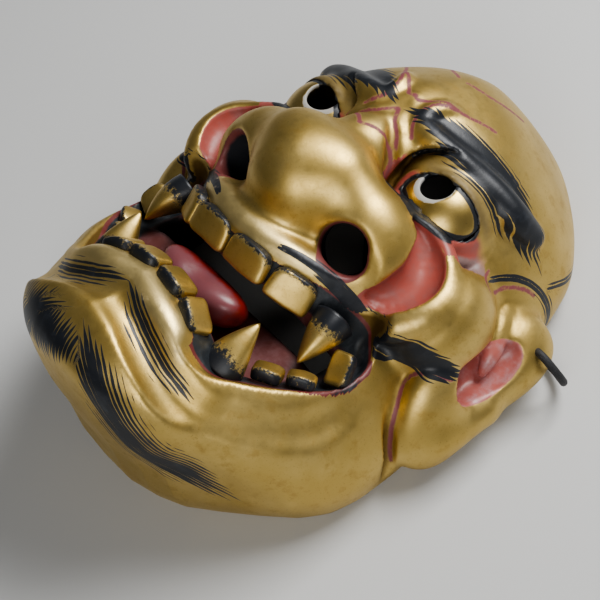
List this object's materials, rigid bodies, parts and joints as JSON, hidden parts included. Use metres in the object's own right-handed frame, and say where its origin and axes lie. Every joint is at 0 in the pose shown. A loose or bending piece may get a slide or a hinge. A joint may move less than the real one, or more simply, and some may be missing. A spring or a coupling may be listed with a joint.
{
  "type": "noh mask",
  "caption": "Carved and gilded demon face mask with bulging eyes, open mouth, fangs and a hanging cord; hollow at the back, stands face up on its rim.",
  "frame": {"origin": "middle of the back rim plane, under the centre of the mask's outline", "axes": "+Z out of the face, +Y towards the forehead, +X to the wearer's left"},
  "size_m": [0.1814, 0.206, 0.094],
  "materials": {
    "shell_gilt_wood": "carved cypress, lacquered and gilded, satin",
    "eye_gilt_metal": "polished gilt sheet metal",
    "tooth_gilt": "carved wood, satin gilding over lacquer",
    "tongue_red": "red lacquer on wood, satin",
    "cord_black": "braided cord"
  },
  "bodies": {
    "root": {"cord_knot_left": "cord_black", "cord_knot_right": "cord_black", "eye_plate_left": "eye_gilt_metal", "eye_plate_right": "eye_gilt_metal", "hanging_cord": "cord_black", "lower_fang_left": "tooth_gilt", "lower_fang_right": "tooth_gilt", "lower_tooth_front_molar_left": "tooth_gilt", "lower_tooth_front_molar_right": "tooth_gilt", "lower_tooth_inner_left": "tooth_gilt", "lower_tooth_inner_right": "tooth_gilt", "lower_tooth_outer_left": "tooth_gilt", "lower_tooth_outer_right": "tooth_gilt", "lower_tooth_rear_molar_left": "tooth_gilt", "lower_tooth_rear_molar_right": "tooth_gilt", "mask_shell": "shell_gilt_wood", "tongue": "tongue_red", "upper_fang_left": "tooth_gilt", "upper_fang_right": "tooth_gilt", "upper_tooth_back_left": "tooth_gilt", "upper_tooth_back_right": "tooth_gilt", "upper_tooth_inner_left": "tooth_gilt", "upper_tooth_inner_right": "tooth_gilt", "upper_tooth_outer_left": "tooth_gilt", "upper_tooth_outer_right": "tooth_gilt"}
  },
  "joints": []
}
